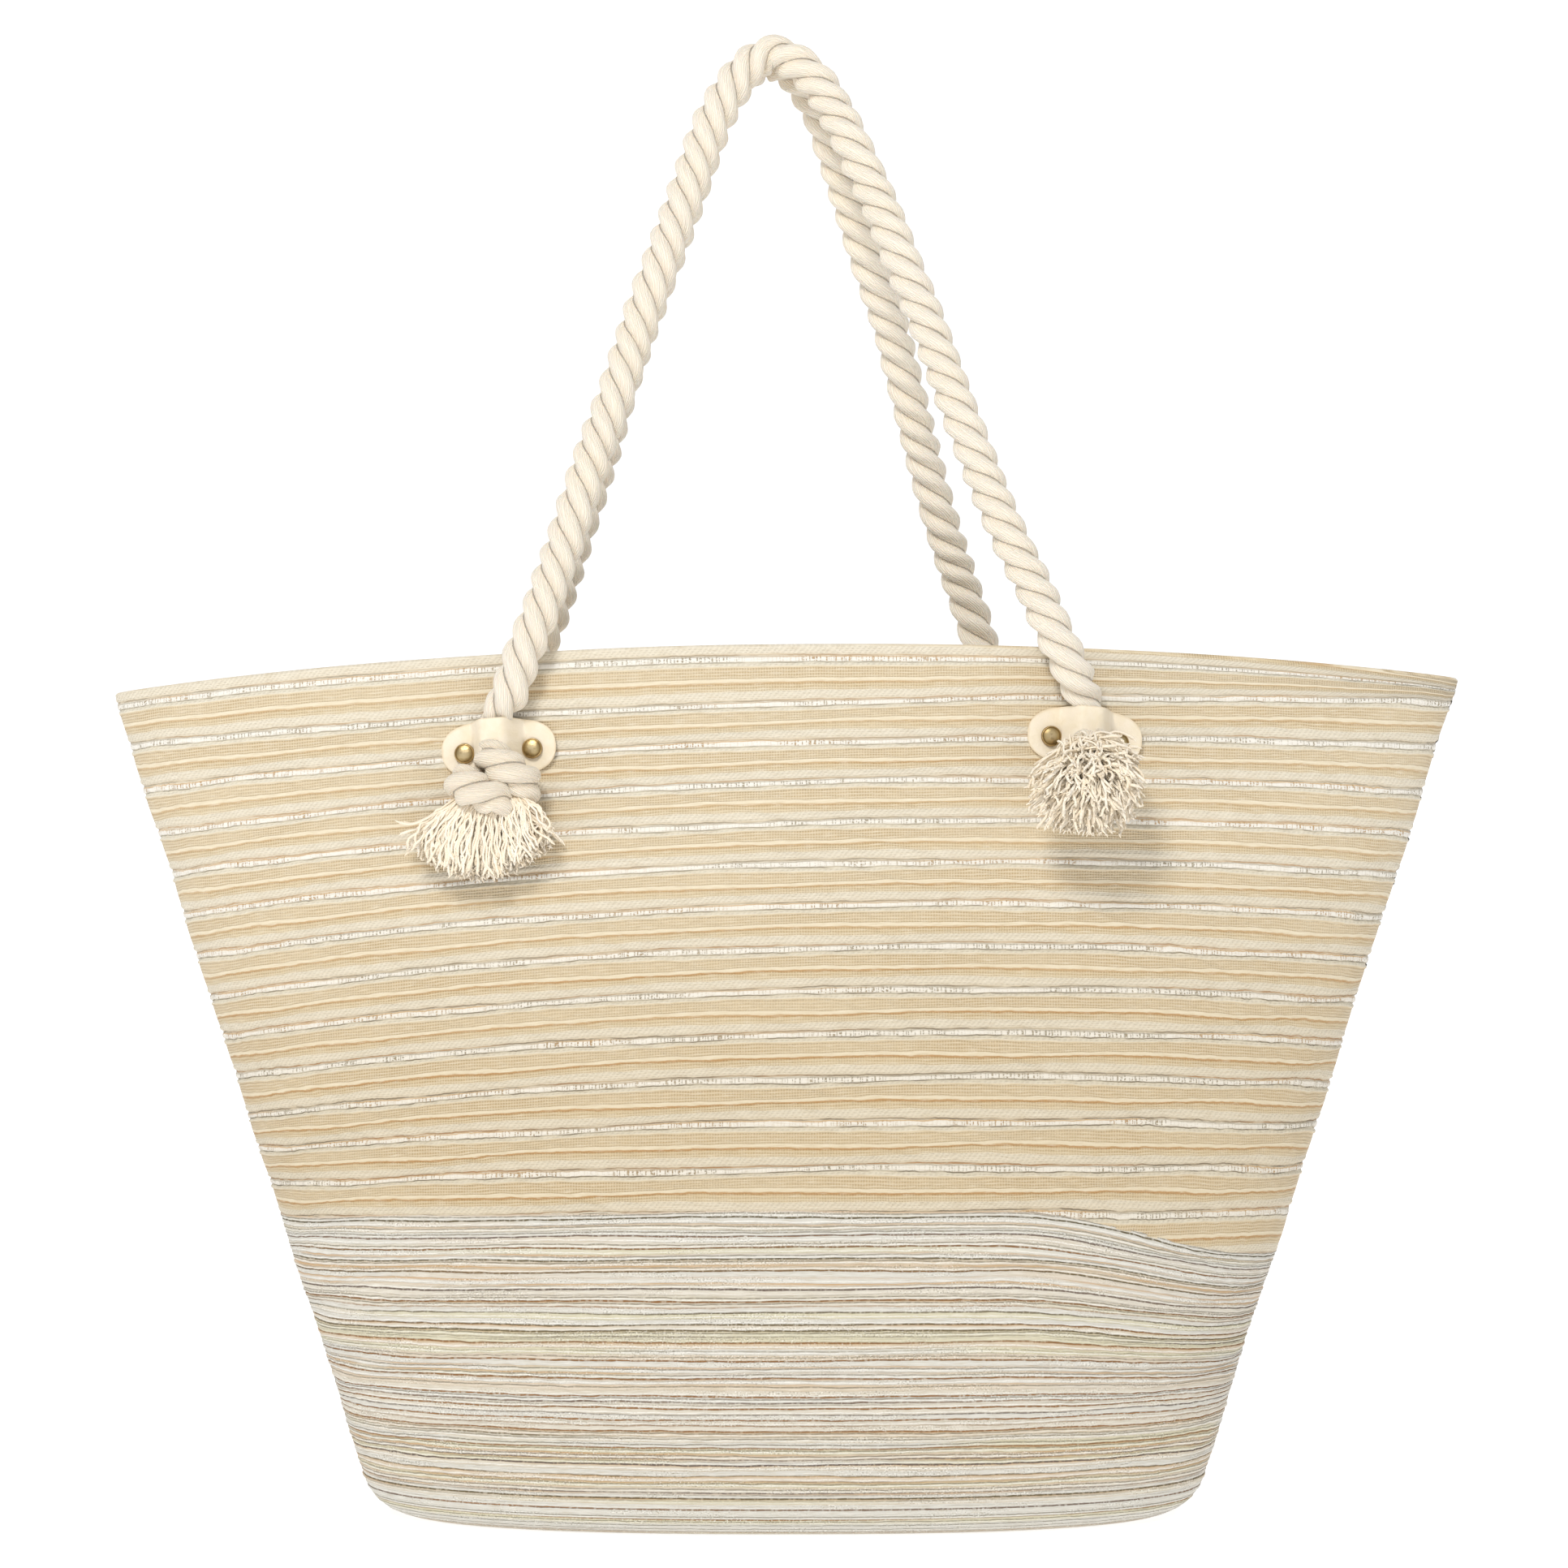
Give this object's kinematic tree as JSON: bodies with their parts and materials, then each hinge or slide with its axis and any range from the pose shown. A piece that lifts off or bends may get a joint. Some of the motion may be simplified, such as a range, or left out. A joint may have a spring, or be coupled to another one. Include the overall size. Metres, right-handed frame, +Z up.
{
  "type": "beach bag",
  "caption": "Open-topped beach tote of sewn woven strip with rope handles held by riveted leather patches, knots and tassels.",
  "frame": {"origin": "centre of the base on the floor", "axes": "+Z up, +X along the width, the front wall faces -Y"},
  "size_m": [0.5343, 0.1671, 0.583],
  "materials": {
    "woven_strip": "matt striped weave with silver thread",
    "lining_cloth": "plain cotton",
    "board": "matt",
    "zip_tape": "woven tape",
    "antique_brass": "antique, satin",
    "cream_leather": "smooth, matt",
    "cotton_rope": "natural twisted cotton"
  },
  "bodies": {
    "root": {"upper_wall": "woven_strip", "lower_wall": "woven_strip", "base_panel": "woven_strip", "base_board": "board", "lining_wall": "lining_cloth", "lining_floor": "lining_cloth", "inner_facing": "woven_strip", "slip_pocket": "lining_cloth", "zip_pocket_bag": "lining_cloth", "zip_tape_upper": "zip_tape", "zip_tape_lower": "zip_tape", "zip_teeth": "antique_brass", "zip_stops": "antique_brass", "snap_socket_half": "antique_brass", "snap_stud_half": "antique_brass", "front_left_patch": "cream_leather", "front_right_patch": "cream_leather", "back_left_patch": "cream_leather", "back_right_patch": "cream_leather", "rivet_caps": "antique_brass", "rivet_backs": "antique_brass", "backing_pads": "lining_cloth", "front_left_tail": "cotton_rope", "front_right_tail": "cotton_rope", "back_left_tail": "cotton_rope", "back_right_tail": "cotton_rope", "front_left_knot": "cotton_rope", "front_right_knot": "cotton_rope", "back_left_knot": "cotton_rope", "back_right_knot": "cotton_rope"},
    "zip_slider": {"zip_slider": "antique_brass"},
    "zip_pull": {"zip_pull": "antique_brass"},
    "front_left_tassel": {"front_left_tassel": "cotton_rope"},
    "front_right_tassel": {"front_right_tassel": "cotton_rope"},
    "back_left_tassel": {"back_left_tassel": "cotton_rope"},
    "back_right_tassel": {"back_right_tassel": "cotton_rope"},
    "front_handle": {"front_handle": "cotton_rope"},
    "back_handle": {"back_handle": "cotton_rope"}
  },
  "joints": [
    {"name": "front_handle_swing", "type": "hinge", "parent": "root", "child": "front_handle", "pos_m": [0.00311, -0.05079, 0.31411], "axis": [0.9998, 0.0041, 0.0195], "range_deg": [0, 70]},
    {"name": "back_handle_swing", "type": "hinge", "parent": "root", "child": "back_handle", "pos_m": [-0.01006, 0.05187, 0.31338], "axis": [-0.9999, -0.0082, -0.0098], "range_deg": [0, 70]},
    {"name": "front_left_tassel_swing", "type": "hinge", "parent": "root", "child": "front_left_tassel", "pos_m": [-0.10916, -0.05993, 0.27247], "axis": [-0.9922, 0.0967, -0.0783], "range_deg": [0, 70]},
    {"name": "front_right_tassel_swing", "type": "hinge", "parent": "root", "child": "front_right_tassel", "pos_m": [0.11473, -0.059, 0.27699], "axis": [-0.9903, -0.101, 0.0956], "range_deg": [-75, 0]},
    {"name": "back_left_tassel_swing", "type": "hinge", "parent": "root", "child": "back_left_tassel", "pos_m": [-0.11119, 0.05967, 0.27296], "axis": [0.992, 0.0989, 0.0783], "range_deg": [0, 70]},
    {"name": "back_right_tassel_swing", "type": "hinge", "parent": "root", "child": "back_right_tassel", "pos_m": [0.09089, 0.06153, 0.27503], "axis": [0.994, -0.0764, -0.0783], "range_deg": [0, 70]},
    {"name": "zip_slide", "type": "slide", "parent": "root", "child": "zip_slider", "axis": [1, 0, 0], "range_m": [0, 0.125]},
    {"name": "zip_pull_hinge", "type": "hinge", "parent": "zip_slider", "child": "zip_pull", "pos_m": [-0.063, 0.04191, 0.25499], "axis": [-1, 0, 0], "range_deg": [0, 150]}
  ]
}
